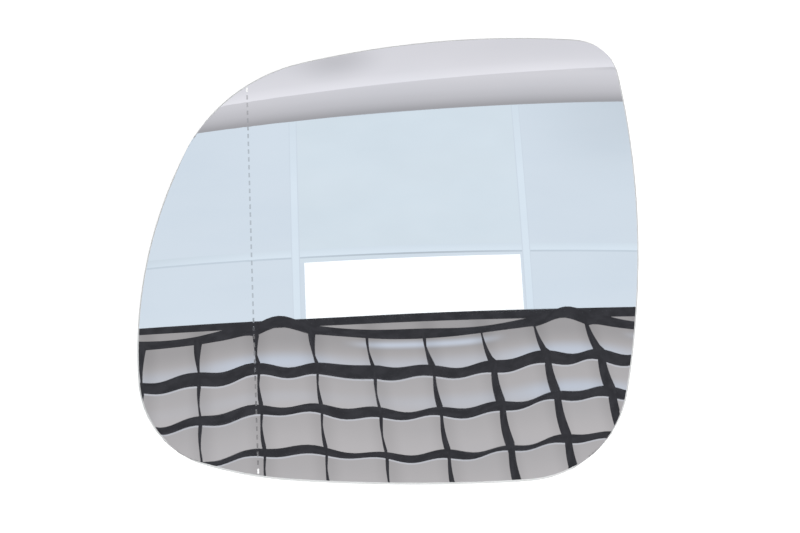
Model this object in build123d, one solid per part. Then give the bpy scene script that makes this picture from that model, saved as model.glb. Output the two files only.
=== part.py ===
from build123d import *
import math
import os

# Left-hand car door mirror glass, in millimetres.
# It lies face up: +Z is the way it reflects, +Y is up on the car and +X points at the door.
# The origin is the middle of the outline, on the surface that the rim rests on.

# Sheet
glass_width = 184.0
glass_height = 166.6
glass_thickness = 2.0

# Outline sides: how strongly each one bows, and where its crest lies from the middle of the outline
inner_side_radius = 330.0
inner_crest_y = 21.0
top_side_radius = 365.0
top_crest_x = 40.0
outer_side_radius = 166.0
outer_crest_y = -33.0
bottom_side_radius = 620.0
bottom_crest_x = 33.0

# The toe, where the bottom side begins to turn up towards the outer side
toe_start_x = -38.0
toe_radius = 142.0

# Outline corners
top_inner_corner = 17.5
top_outer_corner = 62.5
bottom_outer_corner = 34.5
bottom_inner_corner = 39.5

# Ground edge: the front and back edges are bevelled, with a flat band left between them
edge_bevel = 0.6
largest_bevel = 0.45 * glass_thickness

# Curvature: a dome over the main zone, then an outer zone that bends more and more towards the outer side.
# With the dome's axis here, the glass rests level on three of its corners.
dome_radius = 1400.0
dome_axis_x = -1.0
dome_axis_y = 8.4
outer_end_radius = 1000.0
outer_zone_width = 42.5

# Dashed line etched where the outer zone begins
dash_pitch = 3.03
dash_length = 1.7
dash_width = 0.6
dash_depth = 0.05

# Worked out from the sizes above
rim_bevel = min(edge_bevel, largest_bevel)
dash_line_x = outer_zone_width - glass_width / 2
zone_start_x = dash_line_x - dash_width
dome_centre = Vector(dome_axis_x, dome_axis_y, -dome_radius)

# The raw sheet and the cutters run this far past the finished glass
overrun = 2 * glass_thickness


class Arc:
    """One round stretch of the outline, by its centre and radius."""

    def __init__(self, centre, radius):
        self.centre = centre
        self.radius = radius


def touch_point(first, second):
    """The point where two arcs run into each other, the smaller circle lying inside the larger."""
    large, small = (first, second) if first.radius > second.radius else (second, first)
    return large.centre + (small.centre - large.centre).normalized() * large.radius


def corner_arc(first, second, radius):
    """The corner that touches two sides from inside, the sides taken anticlockwise."""
    first_reach = first.radius - radius
    second_reach = second.radius - radius
    span = second.centre - first.centre
    along = (first_reach**2 - second_reach**2 + span.length**2) / (2 * span.length)
    across = math.sqrt(first_reach**2 - along**2)
    direction = span.normalized()
    outward = Vector(-direction.Y, direction.X)
    return Arc(first.centre + direction * along + outward * across, radius)


def toe_arc(bottom_side):
    """The arc that leaves the bottom side smoothly and turns up more strongly."""
    start_x = toe_start_x - bottom_crest_x
    start = bottom_side.centre + Vector(start_x, -math.sqrt(bottom_side.radius**2 - start_x**2))
    return Arc(start + (bottom_side.centre - start).normalized() * toe_radius, toe_radius)


def outline_face():
    """The cut shape of the glass: bowed sides and rounded corners, each running smoothly into the next."""
    half_width = glass_width / 2
    half_height = glass_height / 2
    inner_side = Arc(Vector(half_width - inner_side_radius, inner_crest_y), inner_side_radius)
    top_side = Arc(Vector(top_crest_x, half_height - top_side_radius), top_side_radius)
    outer_side = Arc(Vector(outer_side_radius - half_width, outer_crest_y), outer_side_radius)
    bottom_side = Arc(Vector(bottom_crest_x, bottom_side_radius - half_height), bottom_side_radius)
    toe = toe_arc(bottom_side)
    arcs = [
        inner_side,
        corner_arc(inner_side, top_side, top_inner_corner),
        top_side,
        corner_arc(top_side, outer_side, top_outer_corner),
        outer_side,
        corner_arc(outer_side, toe, bottom_outer_corner),
        toe,
        bottom_side,
        corner_arc(bottom_side, inner_side, bottom_inner_corner),
    ]
    starts = [touch_point(arcs[index - 1], arc) for index, arc in enumerate(arcs)]
    edges = []
    for arc, start, end in zip(arcs, starts, starts[1:] + starts[:1]):
        halfway = (start - arc.centre).normalized() + (end - arc.centre).normalized()
        edges.append(ThreePointArc(start, arc.centre + halfway.normalized() * arc.radius, end))
    return make_face(edges)


def dome_normal(x):
    """The way the dome faces at x, in side view."""
    lean = math.asin((x - dome_axis_x) / dome_radius)
    return Vector(math.sin(lean), 0, math.cos(lean))


def surface_section(depth):
    """The reflecting surface in side view, sunk into the glass by depth: the dome's arc and the outer zone's curve."""
    radius = dome_radius - depth
    zone_start = dome_centre + dome_normal(zone_start_x) * radius
    crown = dome_centre + dome_normal(dome_axis_x) * radius
    inner_end = dome_centre + dome_normal(glass_width / 2 + overrun) * radius
    dome = ThreePointArc(zone_start, crown, inner_end)

    # The outer zone is a cubic that starts with the dome's slope and curvature, and then tightens evenly
    zone_width = glass_width / 2 + zone_start_x
    reach = zone_width + overrun
    tightening_rate = (1 / outer_end_radius - 1 / dome_radius) / zone_width
    end_curvature = 1 / dome_radius + tightening_rate * reach
    turn = (1 / dome_radius + end_curvature) / 2 * reach
    length = reach - turn * depth
    dome_drop = length**2 / radius / 2
    extra_drop = (1 / (1 / end_curvature - depth) - 1 / radius) * length**2 / 6
    down = -dome_normal(zone_start_x)
    along = Vector(down.Z, 0, -down.X)
    outer = Bezier(
        zone_start,
        zone_start + along * length / 3,
        zone_start + along * length * 2 / 3 + down * dome_drop / 3,
        zone_start + along * length + down * (dome_drop + extra_drop),
    )
    return dome, outer


def sheet(top_depth, bottom_depth):
    """A bent sheet between two depths under the reflecting surface, larger than the glass all round."""
    top_dome, top_outer = surface_section(top_depth)
    bottom_dome, bottom_outer = surface_section(bottom_depth)
    outer_end = Line(top_outer @ 1, bottom_outer @ 1)
    inner_end = Line(bottom_dome @ 1, top_dome @ 1)
    section = make_face([top_dome, top_outer, outer_end, bottom_outer, bottom_dome, inner_end])
    dome_axle = Axis(dome_centre, (1, 0, 0))
    half_reach = glass_height / 2 + abs(dome_axis_y) + overrun
    half_turn = math.degrees(half_reach / dome_radius)
    return revolve(section.rotate(dome_axle, -half_turn), dome_axle, 2 * half_turn)


def prism(face):
    """A flat shape drawn up and down through the whole sheet."""
    return extrude(face, amount=glass_width, both=True)


def rim_edges(cut_sheet):
    """The sharp edges round the front and the back, where the sheet was cut."""
    cut_faces = cut_sheet.faces().filter_by(lambda face: abs(face.normal_at().Z) < 0.5)
    return ShapeList(edge for face in cut_faces for edge in face.edges() if edge.geom_type != GeomType.LINE)


def dash_marks(outline):
    """The dashed line drawn flat: as many dashes as fit between the ground edges, evenly set out."""
    line = Line((dash_line_x, -glass_height), (dash_line_x, glass_height))
    chord = (outline & line).bounding_box()
    room = chord.size.Y - 2 * rim_bevel
    count = math.floor((room + dash_pitch - dash_length) / dash_pitch)
    places = Pos(dash_line_x, chord.center().Y) * GridLocations(dash_pitch, dash_pitch, 1, count)
    return Sketch() + [place * Rectangle(dash_width, dash_length) for place in places]


def mirror_glass():
    """The whole glass, with the lowest points of its rim at the origin's height."""
    outline = outline_face()
    cut_sheet = sheet(0, glass_thickness) & prism(outline)
    ground_glass = chamfer(rim_edges(cut_sheet), rim_bevel)
    etched_dashes = sheet(-overrun, dash_depth) & prism(dash_marks(outline))
    glass = ground_glass - etched_dashes
    return Pos(0, 0, -glass.bounding_box().min.Z) * glass


os.makedirs("parts", exist_ok=True)
export_step(mirror_glass(), "parts/mirror_glass.step")
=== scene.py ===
import functools
import math

import bmesh
import bpy
from bpy.props import FloatProperty, FloatVectorProperty, IntProperty, PointerProperty
from mathutils import Matrix, Vector


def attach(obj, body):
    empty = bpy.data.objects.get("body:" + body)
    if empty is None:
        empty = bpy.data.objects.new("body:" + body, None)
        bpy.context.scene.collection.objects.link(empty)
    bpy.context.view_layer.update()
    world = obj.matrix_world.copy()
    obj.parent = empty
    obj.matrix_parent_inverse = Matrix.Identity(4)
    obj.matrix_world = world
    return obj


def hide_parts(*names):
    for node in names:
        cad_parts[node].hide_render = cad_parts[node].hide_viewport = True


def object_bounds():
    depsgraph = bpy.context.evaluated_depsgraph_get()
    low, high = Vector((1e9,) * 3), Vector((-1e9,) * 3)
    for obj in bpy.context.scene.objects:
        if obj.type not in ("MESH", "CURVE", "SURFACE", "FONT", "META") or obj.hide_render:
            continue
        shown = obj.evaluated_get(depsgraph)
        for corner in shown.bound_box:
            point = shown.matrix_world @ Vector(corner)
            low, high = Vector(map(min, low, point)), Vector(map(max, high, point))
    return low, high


bl_info = {
    "name": "Car door mirror glass",
    "version": (1, 0, 0),
    "blender": (4, 5, 0),
    "location": "View3D > Sidebar > Mirror glass",
    "description": "Bends, grinds and etches a car door mirror glass and sets up its studio",
    "category": "Object",
}

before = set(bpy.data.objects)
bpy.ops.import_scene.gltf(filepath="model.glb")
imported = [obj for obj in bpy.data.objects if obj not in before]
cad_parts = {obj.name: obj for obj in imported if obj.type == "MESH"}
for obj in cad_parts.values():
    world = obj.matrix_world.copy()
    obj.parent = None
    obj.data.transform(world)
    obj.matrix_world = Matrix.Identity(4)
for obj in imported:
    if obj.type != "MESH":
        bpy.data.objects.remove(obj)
cad_low, cad_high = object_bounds()

NODE = "mirror_glass"
TINY = 1e-6

# Spun points drift by a few millionths of a metre, so places are compared to this
NEAR = 2e-5

# Edges sharper than this are ground, faces that meet at less than this are shaded as one, and faces whose
# normal rises by more than this look up
CUT_ANGLE = math.radians(60)
SMOOTH_ANGLE = math.radians(30)
LOOKS_UP = 0.5

# Rows of faces across a ground bevel, and the width of the camera sensor in millimetres
BEVEL_ROWS = 3
SENSOR_WIDTH = 36.0

# Material slots of the glass, in order
COATED_FACE = 0
BACK_FACE = 1
GROUND_EDGE = 2
ETCHED_DASH = 3
END_DASH = 4


def length(name, description, default):
    """A size in metres."""
    return FloatProperty(
        name=name, description=description, default=default, precision=5, subtype="DISTANCE", unit="LENGTH"
    )


def turn(name, description, degrees):
    """An angle, written in degrees."""
    return FloatProperty(
        name=name, description=description, default=math.radians(degrees), subtype="ANGLE", unit="ROTATION"
    )


def level(name, description, default):
    """A plain factor."""
    return FloatProperty(name=name, description=description, default=default, min=0.0, subtype="FACTOR")


def number(name, description, default):
    """A plain number."""
    return FloatProperty(name=name, description=description, default=default)


def colour(name, description, default):
    """A colour in linear light."""
    return FloatVectorProperty(
        name=name, description=description, default=default, min=0.0, soft_max=1.0, subtype="COLOR"
    )


def place_on(name, description, default):
    """Two lengths in metres, across a card and along it."""
    return FloatVectorProperty(
        name=name, description=description, default=default, size=2, subtype="TRANSLATION", unit="LENGTH"
    )


def count(name, description, default):
    """A whole number."""
    return IntProperty(name=name, description=description, default=default, min=1)


class MirrorGlassSizes(bpy.types.PropertyGroup):
    """Sizes of the glass, the same as those of its solid"""

    width: length("Width", "Across the outline, from the outer side to the door side", cad_high.x - cad_low.x)
    height: length("Height", "Up the outline, from the bottom side to the top side", cad_high.y - cad_low.y)
    crown_height: length("Crown height", "Top of the dome above the floor", cad_high.z)
    thickness: length("Thickness", "Thickness of the glass sheet", 0.002)

    inner_radius: length("Door side radius", "How strongly the door side bows", 0.330)
    inner_crest: length("Door side crest", "Where the door side reaches furthest, up from the middle", 0.021)
    top_radius: length("Top side radius", "How strongly the top side bows", 0.365)
    top_crest: length("Top side crest", "Where the top side is highest, towards the door", 0.040)
    outer_radius: length("Outer side radius", "How strongly the outer side bows", 0.166)
    outer_crest: length("Outer side crest", "Where the outer side reaches furthest, up", -0.033)
    bottom_radius: length("Bottom side radius", "How strongly the bottom side bows", 0.620)
    bottom_crest: length("Bottom side crest", "Where the bottom side is lowest, towards the door", 0.033)
    toe_start: length("Toe start", "Where the bottom side begins to turn up, towards the door", -0.038)
    toe_radius: length("Toe radius", "How strongly the toe turns up", 0.142)

    top_inner_corner: length("Top door corner", "Radius of the top corner at the door", 0.0175)
    top_outer_corner: length("Top outer corner", "Radius of the top corner at the outer side", 0.0625)
    bottom_outer_corner: length("Bottom outer corner", "Radius of the bottom outer corner", 0.0345)
    bottom_inner_corner: length("Bottom door corner", "Radius of the bottom corner at the door", 0.0395)

    edge_bevel: length("Edge bevel", "Width of the ground bevel round the front and the back", 0.0006)

    dome_radius: length("Dome radius", "Radius of the reflecting dome over the main zone", 1.4)
    dome_axis_x: length("Dome axis across", "Place of the dome's crown, towards the door", -0.001)
    dome_axis_y: length("Dome axis up", "Place of the dome's crown, up from the middle", 0.0084)
    outer_end_radius: length("Outer end radius", "Radius that the outer zone tightens to", 1.0)
    outer_zone_width: length("Outer zone width", "From the outer side to the dashed line", 0.0425)

    dash_pitch: length("Dash pitch", "From one dash of the etched line to the next", 0.00303)
    dash_length: length("Dash length", "Length of a dash", 0.0017)
    dash_width: length("Dash width", "Width of the dashed line", 0.0006)
    dash_depth: length("Dash depth", "How deep the dashes are etched", 0.00005)

    main_columns: count("Main columns", "Mesh columns between the dashed line and the door side", 84)
    outer_columns: count("Outer columns", "Mesh columns between the outer side and the dashed line", 20)
    mesh_pitch: length("Mesh pitch", "Mesh pitch along the outer zone's top and bottom", 0.0015)
    mould_pitch: length("Mould pitch", "Mesh pitch of the mould that the sheet is bent over", 0.0008)


class MirrorGlassFinish(bpy.types.PropertyGroup):
    """Colours of the glass"""

    coating: colour("Coating", "Tint of the reflecting coating", (0.84, 0.87, 0.90))
    coating_haze: colour("Coating haze", "Tint of the coating where it is faintly hazed", (0.82, 0.855, 0.89))
    ground: colour("Ground edge", "Ground glass round the rim", (0.68, 0.69, 0.695))
    ground_pits: colour("Ground pits", "Deeper scratches of the ground edge", (0.56, 0.57, 0.57))
    # The dashes are really etched and duller, and their grey is painted shade: the shaded floor under the
    # glass, seen through the uncoated dashes
    etched_painted_shade: colour("Etched dash", "Floor of an etched dash", (0.54, 0.56, 0.58))
    etched_painted_shade_light: colour("Etched dash light", "Paler specks in an etched dash", (0.64, 0.66, 0.68))
    # The end dashes' near white is painted light, for the lit floor seen through the glass near the rim, on a
    # matt ground finish
    end_dash_painted_light: colour("End dash", "The two end dashes, where the coating is ground away", (0.96, 0.965, 0.965))
    end_dash_painted_light_pits: colour("End dash pits", "Deeper scratches of the end dashes", (0.90, 0.905, 0.905))
    back: colour("Back", "Coating seen from behind, through the glass", (0.42, 0.46, 0.45))
    back_haze: colour("Back haze", "Coating seen from behind where it is hazed", (0.36, 0.40, 0.39))


class MirrorGlassStudio(bpy.types.PropertyGroup):
    """The floor, the camera and the cards that the glass reflects"""

    camera_distance: length("Camera distance", "From the camera to its aim on the glass", 0.7823)
    camera_tilt: turn("Camera tilt", "How far the camera leans from straight overhead", 14.25)
    camera_roll: turn("Camera roll", "How far the camera is turned about its own axis", 2.587)
    camera_lens: FloatProperty(
        name="Lens", description="Focal length on a 36 mm wide sensor", default=97.2, unit="CAMERA"
    )
    aim_up: length("Aim up", "Where the camera aims, up from the middle of the glass", -0.00185)
    shift_across: number("Shift across", "Camera shift, in frame widths", 0.01465)
    shift_up: number("Shift up", "Camera shift, in frame widths", -0.0055)

    floor: colour("Floor", "Plain floor", (0.90, 0.90, 0.90))
    floor_lift: level("Floor lift", "How far the floor is lifted to white where it is seen", 0.50)

    overhead: colour("Overhead card", "Large pale card above the glass", (0.771, 0.839, 0.907))
    overhead_middle: colour("Overhead middle", "The card between the strips", (0.783, 0.858, 0.914))
    overhead_strip: colour("Overhead strip", "Paler strips on the overhead card", (0.827, 0.908, 0.978))
    overhead_line: colour("Overhead line", "Thin darker line along the cross strip", (0.66, 0.732, 0.80))
    overhead_groove: colour("Overhead groove", "Faint grooves beside the two strips", (0.735, 0.80, 0.87))
    overhead_height: length("Overhead height", "The overhead card above the floor", 2.4)
    overhead_far_edge: length("Overhead far edge", "Where the overhead card ends, up from the glass", 1.024)
    overhead_skew: turn("Overhead skew", "How far the overhead card is turned", 2.5)
    strip_width: length("Strip width", "Width of the two strips", 0.018)
    outer_strip: length("Outer strip", "Place of the strip towards the outer side", -0.250)
    door_strip: length("Door strip", "Place of the strip towards the door", 0.384)
    cross_edge: length("Cross edge", "Lower edge of the cross strip, up from the glass", 0.592)
    cross_width: length("Cross width", "Width of the cross strip", 0.024)
    cross_skew: turn("Cross skew", "How far the cross strip is turned", -0.5)
    line_width: length("Line width", "Width of the darker line", 0.005)
    panel: colour("Light panel", "Bright panel in the overhead card", (1.4, 1.4, 1.4))
    panel_across: length("Panel across", "Middle of the light panel, towards the door", 0.070)
    panel_along: length("Panel along", "Middle of the light panel, up from the glass", 0.275)
    panel_width: length("Panel width", "Width of the light panel", 0.592)
    panel_length: length("Panel length", "Length of the light panel", 0.604)

    drape: colour("Drape", "Grey sheet beyond the overhead card", (0.94, 0.907, 0.937))
    drape_hem: length("Drape hem", "Depth of the sheet's hem", 0.14)
    drape_fold: length("Drape fold", "Where the sheet folds back over its hem", 1.122)
    drape_skew: turn("Drape skew", "How far the fold is turned", 4.4)
    hollow_spot: place_on("Hollow place", "Soft hollow, from the sheet's middle", (-0.233, -1.405))
    hollow_reach: place_on("Hollow reach", "How far the hollow reaches each way", (0.17, 0.085))
    hollow_shade: level("Hollow shade", "Share of the light that is left in the hollow", 0.80)
    # The thin darker card under the fold is painted shadow, just below the fold's highlight
    fold_shadow_across: length("Crease across", "Middle of the crease under the fold, towards the door", 0.66)
    fold_shadow_length: length("Crease length", "Length of the crease under the fold", 0.22)
    fold_shadow_width: length("Crease width", "Width of the crease", 0.009)
    backdrop: colour("Backdrop", "Round backdrop that the glass reflects from the sides", (0.94, 0.97, 1.0))
    backdrop_radius: length("Backdrop radius", "Radius of the round backdrop", 3.0)


class MirrorGlassSoftLight(bpy.types.PropertyGroup):
    """The soft light over the camera, with its slack cloth grid"""

    middle_y: length("Middle up", "Middle of the soft light, up from the glass", 0.1)
    middle_z: length("Middle height", "Middle of the soft light above the floor", 0.9)
    lean: turn("Lean", "How far the soft light leans towards the glass", 27.6)
    side_lean: turn("Side lean", "How far the soft light leans to the side", -8.2)
    roll: turn("Roll", "How far the soft light is turned in its own plane", 1.3)

    cell_width: length("Cell width", "From one column of ribbons to the next", 0.0724)
    cell_length: length("Cell length", "From one row of ribbons to the next", 0.0590)
    first_across: length("First column", "Where the first column that shows stands", -0.310)
    first_along: length("First row", "Where the first row runs, between crests and hollows", 0.0303)
    ribbon_depth: length("Ribbon depth", "How far the ribbons stand out from the diffuser", 0.026)
    cloth: length("Cloth", "Thickness of the ribbons", 0.002)
    swell: length("Swell", "Height of the slow swell of the slack grid", 0.0088)
    swell_cells: number("Swell length", "Length of the swell, in cells", 5.28)
    swell_crest: number("Swell crest", "The column at which a crest lies", 2.23)
    swell_sharpness: number("Swell sharpness", "How much sharper the crests are than the hollows", 1.5)
    sag: length("Sag", "How far a ribbon sags in the middle of a cell at a crest", 0.0065)
    arch: length("Arch", "How far the first row arches up at a crest", 0.0126)
    bow: length("Bow", "How far a column bows between two rows", 0.0026)
    rim_along: length("Rim place", "Where the rim runs", 0.0465)
    rim_bow: number("Rim bow", "How strongly the rim bows, in 1/m", 0.03)
    rim_step: length("Rim step", "How much higher the rim runs on the door side", 0.0018)
    rim_width: length("Rim width", "Width of the rim, at its middle", 0.0118)
    rim_taper: number("Rim taper", "How much wider the rim grows, in 1/m", 0.75)
    frame_width: length("Frame width", "Width of the frame at the sides and the foot", 0.03)

    diffuser: colour("Diffuser", "Cloth of the diffuser", (0.572, 0.537, 0.533))
    glow: colour("Glow", "Bluish light at the foot of the first cells", (0.64, 0.67, 0.745))
    shade: level("Shade", "Share of the light that is left under a ribbon", 0.88)
    rim_shade: level("Rim shade", "Share of the light that is left under the rim", 0.73)
    side_shade: level("Side shade", "Share of the light that is left beside a column", 0.88)
    # The pale strips along the ribbons' back edges are painted highlight: light from the diffuser caught on
    # them
    hem_painted_light: colour("Hem", "Pale hem of the ribbons at the diffuser", (0.61, 0.60, 0.625))
    hem_painted_light_width: length("Hem width", "Width of the ribbons' pale hem", 0.0012)
    ribbon: colour("Ribbon", "Dark cloth of the ribbons and the rim", (0.045, 0.044, 0.049))


def clear_selection():
    """Leaves edit mode and nothing selected."""
    if bpy.context.mode != "OBJECT":
        bpy.ops.object.mode_set(mode="OBJECT")
    bpy.ops.object.select_all(action="DESELECT")


def pick(piece):
    """Leaves edit mode with only the piece selected and active."""
    clear_selection()
    piece.select_set(True)
    bpy.context.view_layer.objects.active = piece


def start_from_point(name, place):
    """A new mesh object that is one selected vertex at place, open in edit mode."""
    clear_selection()
    bpy.ops.mesh.primitive_plane_add(size=0.001, location=(0, 0, 0))
    piece = bpy.context.object
    piece.name = name
    piece.data.name = name
    bpy.ops.object.mode_set(mode="EDIT")
    bpy.ops.mesh.select_mode(type="VERT")
    bpy.ops.mesh.select_all(action="SELECT")
    bpy.ops.mesh.merge(type="CENTER")
    bpy.ops.transform.translate(value=place)
    return piece


def select(piece, kind, wanted):
    """In edit mode, selects only the vertices, edges or faces that are wanted."""
    bpy.ops.mesh.select_mode(type=kind)
    bpy.ops.mesh.select_all(action="DESELECT")
    shape = bmesh.from_edit_mesh(piece.data)
    for element in {"VERT": shape.verts, "EDGE": shape.edges, "FACE": shape.faces}[kind]:
        element.select_set(wanted(element))
    shape.select_flush_mode()
    bmesh.update_edit_mesh(piece.data)


def open_between(wanted):
    """A test for an edge that is open on one side or both and has both its ends at wanted places."""
    return lambda edge: len(edge.link_faces) < 2 and all(wanted(end.co) for end in edge.verts)


def apply_modifier(piece, kind, **settings):
    """Adds a modifier to the piece, sets it and applies it."""
    pick(piece)
    bpy.ops.object.modifier_add(type=kind)
    modifier = piece.modifiers[-1]
    for key, value in settings.items():
        setattr(modifier, key, value)
    bpy.ops.object.modifier_apply(modifier=modifier.name)


class Arc:
    """One round stretch of the outline, by its centre and radius."""

    def __init__(self, centre, radius):
        self.centre = centre
        self.radius = radius

    def angle_to(self, point):
        """The direction of a point from the centre."""
        return math.atan2(point.y - self.centre.y, point.x - self.centre.x)

    def point_at(self, angle):
        """The point of the circle in a direction."""
        return self.centre + Vector((math.cos(angle), math.sin(angle))) * self.radius


def touch_point(first, second):
    """The point where two arcs run into each other, the smaller circle lying inside the larger."""
    large, small = (first, second) if first.radius > second.radius else (second, first)
    return large.centre + (small.centre - large.centre).normalized() * large.radius


def corner_arc(first, second, radius):
    """The corner that touches two sides from inside, the sides taken anticlockwise."""
    first_reach = first.radius - radius
    second_reach = second.radius - radius
    span = second.centre - first.centre
    along = (first_reach**2 - second_reach**2 + span.length**2) / (2 * span.length)
    across = math.sqrt(first_reach**2 - along**2)
    direction = span.normalized()
    outward = Vector((-direction.y, direction.x))
    return Arc(first.centre + direction * along + outward * across, radius)


def toe_arc(sizes, bottom_side):
    """The arc that leaves the bottom side smoothly and turns up more strongly."""
    start_x = sizes.toe_start - sizes.bottom_crest
    start = bottom_side.centre + Vector((start_x, -math.sqrt(bottom_side.radius**2 - start_x**2)))
    return Arc(start + (bottom_side.centre - start).normalized() * sizes.toe_radius, sizes.toe_radius)


class Outline:
    """The cut shape: nine arcs, anticlockwise, each running smoothly into the next.

    A station is a distance along the outline from where the door side starts.
    """

    def __init__(self, sizes):
        half_width = sizes.width / 2
        half_height = sizes.height / 2
        inner = Arc(Vector((half_width - sizes.inner_radius, sizes.inner_crest)), sizes.inner_radius)
        top = Arc(Vector((sizes.top_crest, half_height - sizes.top_radius)), sizes.top_radius)
        outer = Arc(Vector((sizes.outer_radius - half_width, sizes.outer_crest)), sizes.outer_radius)
        bottom = Arc(Vector((sizes.bottom_crest, sizes.bottom_radius - half_height)), sizes.bottom_radius)
        self.toe = toe_arc(sizes, bottom)
        self.top_inner = corner_arc(inner, top, sizes.top_inner_corner)
        self.top_outer = corner_arc(top, outer, sizes.top_outer_corner)
        bottom_outer = corner_arc(outer, self.toe, sizes.bottom_outer_corner)
        self.bottom_inner = corner_arc(bottom, inner, sizes.bottom_inner_corner)
        self.arcs = [
            inner,
            self.top_inner,
            top,
            self.top_outer,
            outer,
            bottom_outer,
            self.toe,
            bottom,
            self.bottom_inner,
        ]
        self.starts = []
        self.stations = [0.0]
        for index, arc in enumerate(self.arcs):
            following = self.arcs[(index + 1) % len(self.arcs)]
            start = arc.angle_to(touch_point(self.arcs[index - 1], arc))
            sweep = (arc.angle_to(touch_point(arc, following)) - start) % math.tau
            self.starts.append(start)
            self.stations.append(self.stations[-1] + sweep * arc.radius)
        self.length = self.stations[-1]

    def station(self, arc, angle):
        """How far along the outline an arc's point lies."""
        index = self.arcs.index(arc)
        return self.stations[index] + (angle - self.starts[index]) % math.tau * arc.radius

    def middle(self, arc):
        """The station halfway along an arc."""
        index = self.arcs.index(arc)
        return (self.stations[index] + self.stations[index + 1]) / 2

    def point(self, station):
        """The point of the outline at a station."""
        station = station % self.length
        for arc, start, begin, end in zip(self.arcs, self.starts, self.stations, self.stations[1:]):
            if station <= end:
                return arc.point_at(start + (station - begin) / arc.radius)
        raise RuntimeError("the station lies past the end of the outline")

    def spin_along(self, begin, end, edges):
        """Draws the selected vertex round the outline from one station to the next, in so many edges."""
        done = 0
        for lap in (0, self.length):
            for arc, low, high in zip(self.arcs, self.stations, self.stations[1:]):
                from_station = max(begin, low + lap)
                to_station = min(end, high + lap)
                if to_station - from_station > TINY:
                    reached = round(edges * (to_station - begin) / (end - begin))
                    bpy.ops.mesh.spin(
                        steps=reached - done,
                        angle=(from_station - to_station) / arc.radius,
                        center=(*arc.centre, 0),
                        axis=(0, 0, 1),
                    )
                    done = reached


class DashLine:
    """Where the dashed line runs, and how its dashes are set out along it."""

    def __init__(self, sizes, outline):
        self.x = sizes.outer_zone_width - sizes.width / 2
        self.near = self.x + sizes.dash_width / 2
        self.far = self.x - sizes.dash_width / 2
        top = outline.top_outer
        toe = outline.toe
        top_y = top.centre.y + math.sqrt(top.radius**2 - (self.x - top.centre.x) ** 2)
        bottom_y = toe.centre.y - math.sqrt(toe.radius**2 - (self.x - toe.centre.x) ** 2)
        space = top_y - bottom_y - 2 * sizes.edge_bevel
        self.pitch = sizes.dash_pitch
        self.dash = sizes.dash_length
        self.count = math.floor((space + self.pitch - self.dash) / self.pitch)
        self.first_middle = (top_y + bottom_y) / 2 - (self.count - 1) * self.pitch / 2
        self.rows = 2 * self.count + 1

    def top_station(self, outline, x):
        """Where the outline crosses a line of the strip at the top."""
        arc = outline.top_outer
        return outline.station(arc, math.acos((x - arc.centre.x) / arc.radius))

    def bottom_station(self, outline, x):
        """Where the outline crosses a line of the strip at the bottom."""
        arc = outline.toe
        return outline.station(arc, -math.acos((x - arc.centre.x) / arc.radius))

    def number_at(self, place):
        """Which dash a point lies on, from 0 at the bottom, or None."""
        if abs(place.x - self.x) > self.near - self.x:
            return None
        steps = (place.y - self.first_middle) / self.pitch
        number = round(steps)
        on_dash = abs(steps - number) * self.pitch < self.dash / 2
        return number if on_dash and 0 <= number < self.count else None


def draw_outline(sizes, outline, line):
    """The outline as a closed ring of edges, with mesh corners where the dashed line and the corners are."""
    begin = line.bottom_station(outline, line.near)
    lap = outline.length
    rail = sizes.outer_columns * sizes.mesh_pitch
    top_far = line.top_station(outline, line.far) + lap
    bottom_far = line.bottom_station(outline, line.far) + lap
    runs = [
        (outline.middle(outline.bottom_inner), sizes.main_columns),
        (outline.middle(outline.top_inner) + lap, line.rows),
        (line.top_station(outline, line.near) + lap, sizes.main_columns),
        (top_far, 1),
        (top_far + rail, sizes.outer_columns),
        (bottom_far - rail, line.rows),
        (bottom_far, sizes.outer_columns),
        (begin + lap, 1),
    ]
    start = outline.point(begin)
    sheet = start_from_point("bent_mirror_glass", (start.x, start.y, 0))
    for end, edges in runs:
        outline.spin_along(begin, end, edges)
        begin = end
    bpy.ops.mesh.select_all(action="SELECT")
    bpy.ops.mesh.remove_doubles(threshold=NEAR)
    return sheet


def fill_dash_strip(sizes, sheet, line):
    """The strip under the dashed line, as a ladder of faces: one for each dash and one for each gap."""
    gap = line.pitch - line.dash
    first = (line.x, line.first_middle, 0)
    bpy.ops.mesh.select_all(action="DESELECT")
    bpy.ops.mesh.primitive_plane_add(size=1, location=first)
    bpy.ops.transform.resize(value=(sizes.dash_width, line.dash, 1), center_override=first)
    top = line.first_middle + line.dash / 2
    bottom = line.first_middle - line.dash / 2

    def on_strip(place):
        return abs(place.x - line.x) < line.near - line.x + NEAR

    select(sheet, "VERT", lambda vertex: on_strip(vertex.co) and abs(vertex.co.y - top) < NEAR)
    for rise in (gap, line.dash) * (line.count - 1):
        bpy.ops.mesh.extrude_region_move(TRANSFORM_OT_translate={"value": (0, rise, 0)})
        top += rise
    select(sheet, "EDGE", open_between(lambda place: on_strip(place) and place.y > top - NEAR))
    bpy.ops.mesh.edge_face_add()
    select(sheet, "EDGE", open_between(lambda place: on_strip(place) and place.y < bottom + NEAR))
    bpy.ops.mesh.edge_face_add()


def fill_zone(sheet, wanted, corner, span):
    """Fills the zone inside the open edges at wanted places with a grid of quads that starts at a corner."""
    select(sheet, "EDGE", open_between(wanted))
    shape = bmesh.from_edit_mesh(sheet.data)
    first = min(shape.verts, key=lambda vertex: (vertex.co.xy - corner).length)
    shape.select_history.clear()
    shape.select_history.add(first)
    bmesh.update_edit_mesh(sheet.data)
    bpy.ops.mesh.fill_grid(span=span)


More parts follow.
